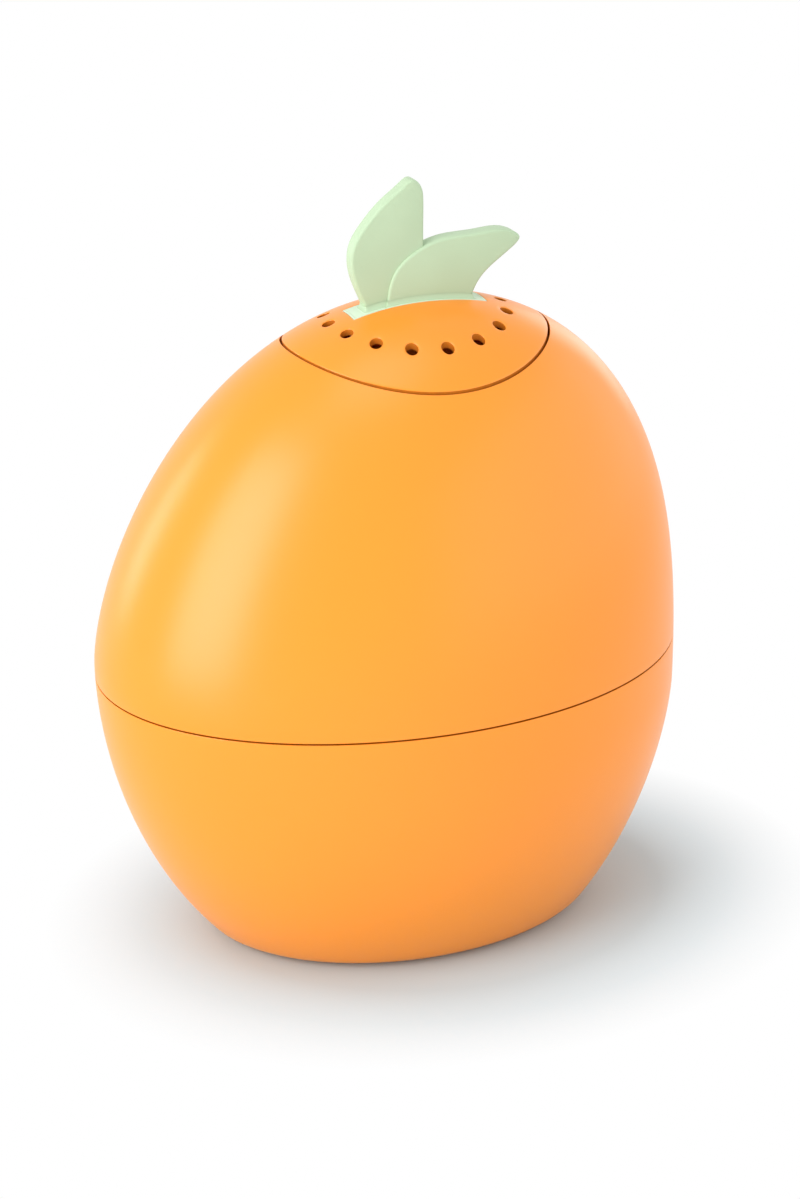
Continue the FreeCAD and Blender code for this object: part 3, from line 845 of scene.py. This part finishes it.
def strip_top_z(x, y):
    """Height of the strip's top: rounded at its edges, with a fine rim round a shallow dish."""
    edge = np.minimum(STRIP_HALF_LENGTH - np.abs(x), STRIP_HALF_WIDTH - np.abs(y))
    dish = np.clip((edge - STRIP_RIM) / STRIP_DISH_RUN, 0, 1)
    return skin_height(x, y) - eased_drop(edge, STRIP_EDGE_R) - STRIP_DISH * dish * dish * (3 - 2 * dish)


y_back = LEAF_HALF_THICKNESS
y_rear = -LEAF_HALF_THICKNESS
y_front = y_rear - FRONT_LOBE_RAISE
leaf_parts = Pieces()
rear_outline = np.concatenate([smooth_outline(REAR_LOBE), smooth_outline(REAR_LOBE_HIDDEN_SIDE)[1:]])
add_lobe(leaf_parts, rear_outline, y_rear, y_back)
add_lobe(leaf_parts, smooth_outline(FRONT_LOBE), y_front, y_back - BACK_STEP)

xs = strip_stops(STRIP_HALF_LENGTH, STRIP_STOPS_ALONG)
ys = strip_stops(STRIP_HALF_WIDTH, STRIP_STOPS_ACROSS)
cells = np.arange(len(xs) * len(ys)).reshape(len(xs), len(ys))
corners = [cells[:-1, :-1], cells[1:, :-1], cells[1:, 1:], cells[:-1, 1:]]
quads = np.stack([corner.ravel() for corner in corners], axis=1)
border = np.concatenate([cells[:, 0], cells[-1, 1:], cells[-2::-1, -1], cells[0, -2:0:-1]])
grid = np.stack([g.ravel() for g in np.meshgrid(xs, ys, indexing="ij")], axis=1)
top = at_height(grid, strip_top_z(*grid.T))
under = on_skin(grid, STRIP_THICKNESS)
leaf_parts.add(top, quads)
leaf_parts.add(under, quads)
leaf_parts.band(top[border], under[border])

foot_corners = [(REAR_FOOT_X, y_rear), (FRONT_FOOT_X, y_rear), (FRONT_FOOT_X, y_front),
                (FOOT_END_X, y_front), (FOOT_END_X, y_back), (REAR_FOOT_X, y_back)]
foot = []
for start, end in zip(foot_corners, foot_corners[1:] + foot_corners[:1]):
    count = max(int(math.dist(start, end) / COLLAR_SPACING), 3)
    foot.append(np.linspace(start, end, count, endpoint=False))
foot = np.concatenate(foot)
inner_ring = drawn_in(foot, -COLLAR_GAP)
collar_rings = [at_height(inner_ring, strip_top_z(*inner_ring.T) - COLLAR_SINK)]
for rise, run in quarter(COLLAR_STEPS):
    ring = drawn_in(foot, -COLLAR_GAP - COLLAR_RUN * run)
    collar_rings.append(at_height(ring, strip_top_z(*ring.T) + COLLAR_RISE * (1 - rise)))
leaf_parts.bands(collar_rings)
for x in (-PEG_X, PEG_X):
    add_tube(leaf_parts, x, SCREW_R, PEG_R, BOSS_BOTTOM_Z + PEG_SHORTFALL, FOOT_Z + PEG_ROOT)

leaf = add_object("leaf_moulding", np.concatenate(leaf_parts.points), leaf_parts.faces, sharp_degrees=50)
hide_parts("leaf_grip")
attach(leaf, "cap")

SAGE = (0.480, 0.625, 0.415, 1.0)
SAGE_DEEP = (0.455, 0.595, 0.392, 1.0)
SAGE_PAINTED_LIGHT = (0.640, 0.790, 0.600, 1.0)
SAGE_PAINTED_LIGHT_DEEP = (0.610, 0.760, 0.570, 1.0)
SAGE_FLOW = 0.012

green = Shader("satin_sage_moulding", roughness=0.5, IOR=1.47)
flow = green.noise(SAGE_FLOW, detail=1.0)
grain = green.noise(MOULD_GRAIN, detail=2.0)
green.feed("Base Color", green.mix(flow.clamped(0.3, 0.7), SAGE, SAGE_DEEP))
green.feed("Roughness", 0.46 + grain * 0.06 + flow * 0.03)
green.bump(grain, distance=GRAIN_DEPTH, strength=0.3)
green.on(leaf)

# A paler, glossier copy of the sage for the strip: painted light standing in for the light on its top.
painted_light_green = Shader("sage_strip_painted_light", roughness=0.4, IOR=1.5)
flow = painted_light_green.noise(SAGE_FLOW, detail=1.0)
grain = painted_light_green.noise(MOULD_GRAIN, detail=2.0)
painted_light_green.feed("Base Color", painted_light_green.mix(flow.clamped(0.3, 0.7), SAGE_PAINTED_LIGHT, SAGE_PAINTED_LIGHT_DEEP))
painted_light_green.feed("Roughness", 0.34 + grain * 0.06)
painted_light_green.bump(grain, distance=GRAIN_DEPTH, strength=0.3)


def on_strip(x, y, z):
    """On the strip's top, or on its sides."""
    at_side = (np.abs(y) > STRIP_HALF_WIDTH - STRIP_SIDE) & (z < CROWN_Z)
    return (np.abs(z - strip_top_z(x, y)) < STRIP_TOUCH) | at_side


# The strip's top and sides take the paler sage: painted light.
put_where(painted_light_green, leaf, on_strip)


# ---------------------------------------------------------------- Entry funnel
# Thin cone in the shells' orange, pressed into the cap's skirt.  Seen only through the vents, and
# from below when the cap is lifted off.
orange.on(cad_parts["entry_funnel"])


# ---------------------------------------------------------------- Seals
# Two cloudy silicone bands, stretched into grooves: one round the bowl's spigot, one round the
# cap's skirt.  They pick up a little dust.
SILICONE = (0.78, 0.77, 0.73, 1.0)
SILICONE_DUSTY = (0.66, 0.65, 0.62, 1.0)
SILICONE_DUST = 0.0015
SILICONE_DEPTH = 0.00003

silicone = Shader("cloudy_silicone", roughness=0.55, IOR=1.42)
dust_and_shade_mottle = silicone.noise(SILICONE_DUST, detail=3.0)
silicone.feed("Base Color", silicone.mix(dust_and_shade_mottle.clamped(0.4, 0.75), SILICONE, SILICONE_DUSTY))
silicone.feed("Roughness", 0.5 + dust_and_shade_mottle * 0.2)
silicone.bump(dust_and_shade_mottle, distance=SILICONE_DEPTH, strength=0.3)
silicone.on(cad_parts["rim_seal"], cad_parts["cap_seal"])


# ---------------------------------------------------------------- Base pad
# Non-slip pad in dark grey rubber with a fine pebbled face, bonded into the recess of the bowl's
# underside.
RUBBER = (0.085, 0.085, 0.087, 1.0)
RUBBER_WORN = (0.12, 0.118, 0.115, 1.0)
RUBBER_WEAR = 0.015
PEBBLE = 0.0009
PEBBLE_DEPTH = 0.0001

rubber = Shader("pebbled_rubber", roughness=0.8, IOR=1.5)
pebble = rubber.node("ShaderNodeTexVoronoi", {"feature": "SMOOTH_F1"},
                     {"Vector": rubber.place, "Scale": 1 / PEBBLE, "Smoothness": 0.6})[0]
wear = rubber.noise(RUBBER_WEAR, detail=4.0)
rubber.feed("Base Color", rubber.mix(wear.clamped(0.35, 0.75), RUBBER, RUBBER_WORN))
rubber.feed("Roughness", 0.72 + wear * 0.18)
rubber.bump(pebble, distance=PEBBLE_DEPTH, strength=0.6)
rubber.on(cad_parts["base_pad"])


# ---------------------------------------------------------------- Screws and washers
# Two pan-head screws and their pressed washers, in zinc-plated steel with a faint mottle.  They
# hold the leaf from inside the cap.
ZINC = (0.66, 0.66, 0.65, 1.0)
ZINC_DULL = (0.56, 0.57, 0.58, 1.0)
ZINC_MOTTLE = 0.0012
ZINC_GRAIN = 0.0001
ZINC_DEPTH = 0.00001

zinc = Shader("zinc_plate", roughness=0.32, Metallic=1.0)
mottle = zinc.noise(ZINC_MOTTLE, detail=4.0)
grain = zinc.noise(ZINC_GRAIN, detail=1.0)
zinc.feed("Base Color", zinc.mix(mottle.clamped(0.3, 0.7), ZINC, ZINC_DULL))
zinc.feed("Roughness", 0.26 + mottle * 0.14 + grain * 0.05)
zinc.bump(grain, distance=ZINC_DEPTH, strength=0.25)
zinc.on(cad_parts["grip_screws"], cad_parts["grip_washers"])


# ---------------------------------------------------------------- Floor and light
# White paper sweep, painted darker and cooler near the pot: painted shade round its foot, and a painted
# offset to the orange light it throws down.  Two large softboxes light the front, two weak strips the
# far side and one the top, in a white room.
WHITE = (1.0, 1.0, 1.0, 1.0)
FLOOR_REACH = 40 * cad_box[1][2]
PAPER_NEAR_PAINTED_SHADE = (0.57, 0.70, 0.76, 1.0)
PAPER_FAR = (0.96, 0.96, 0.96, 1.0)
PAPER_FADE = (0.05, 0.09)
WHITE_FADE = (0.038, 0.066)
POT_STRETCH = (0.8, 1.0, 1.0)
POT_OFFSET = (-0.0032, 0.003, 0.0)
CAMERA_RAY, GLOSSY_RAY, TRANSMISSION_RAY = 0, 3, 6
VECTOR_LENGTH = 1
ROOM_STRENGTH = 0.72
LIGHT_AIM = Vector((0, 0, 0.07))


def seen_ray(nodes):
    """1 for rays from the camera and those that it sees in gloss or through glass, else 0."""
    ray = nodes.node("ShaderNodeLightPath", {}, [])
    return ray[CAMERA_RAY].math("MAXIMUM", ray[GLOSSY_RAY]).math("MAXIMUM", ray[TRANSMISSION_RAY])


floor_mesh = bpy.data.meshes.new("floor")
floor_mesh.from_pydata([(-FLOOR_REACH, -FLOOR_REACH, 0), (FLOOR_REACH, -FLOOR_REACH, 0),
                        (FLOOR_REACH, FLOOR_REACH, 0), (-FLOOR_REACH, FLOOR_REACH, 0)], [],
                       [(0, 1, 2, 3)])
floor = bpy.data.objects.new("floor", floor_mesh)
bpy.context.scene.collection.objects.link(floor)

paper = Shader("white_paper", roughness=0.9, Specular_IOR_Level=0.1)
oval = paper.node("ShaderNodeVectorMath", {"operation": "MULTIPLY_ADD"},
                  [paper.place, POT_STRETCH, POT_OFFSET])[0]
from_pot = paper.node("ShaderNodeVectorMath", {"operation": "LENGTH"}, [oval])[VECTOR_LENGTH]
# Near the pot the paper is darker and cooler: painted shade, and a painted offset to the orange bounce.
paper.feed("Base Color", paper.mix(from_pot.clamped(*PAPER_FADE), PAPER_NEAR_PAINTED_SHADE, PAPER_FAR))
lit = Socket(paper, paper.surface.outputs[0])
white = paper.node("ShaderNodeEmission", {}, {"Color": WHITE, "Strength": 1.0})[0]
whitened = seen_ray(paper) * from_pot.clamped(*WHITE_FADE)
sweep = paper.node("ShaderNodeMixShader", {}, [whitened, lit, white])[0]
paper.tree.links.new(sweep.socket, paper.tree.nodes["Material Output"].inputs["Surface"])
paper.on(floor)

world = bpy.data.worlds.new("white_room")
bpy.context.scene.world = world
world.use_nodes = True
room = Nodes(world.node_tree)
strength = seen_ray(room).clamped(0.0, 1.0, ROOM_STRENGTH, 1.0)
air = room.node("ShaderNodeBackground", {}, {"Color": WHITE, "Strength": strength})[0]
room.tree.links.new(air.socket, room.tree.nodes["World Output"].inputs["Surface"])


def softbox(name, turn, rise, distance, width, height, power):
    """Rectangular lamp aimed at the pot; turn 0 is in front and grows towards the short end."""
    lamp = bpy.data.lights.new(name, "AREA")
    lamp.shape = "RECTANGLE"
    lamp.size = width
    lamp.size_y = height
    lamp.energy = power
    turn = math.radians(turn)
    rise = math.radians(rise)
    way = Vector((math.sin(turn) * math.cos(rise), -math.cos(turn) * math.cos(rise), math.sin(rise)))
    holder = bpy.data.objects.new(name, lamp)
    bpy.context.scene.collection.objects.link(holder)
    holder.location = LIGHT_AIM + way * distance
    holder.rotation_euler = way.to_track_quat("Z", "Y").to_euler()


softbox("tall_softbox", turn=-72, rise=15, distance=1.0, width=0.60, height=1.3, power=10.0)
softbox("wide_softbox", turn=60, rise=6, distance=1.2, width=2.6, height=1.6, power=8.0)
softbox("side_softbox", turn=132, rise=4, distance=1.2, width=0.4, height=0.9, power=1.7)
softbox("rim_softbox", turn=-136, rise=6, distance=1.2, width=0.3, height=0.8, power=2.4)
softbox("top_softbox", turn=-30, rise=78, distance=1.0, width=0.5, height=0.5, power=1.2)
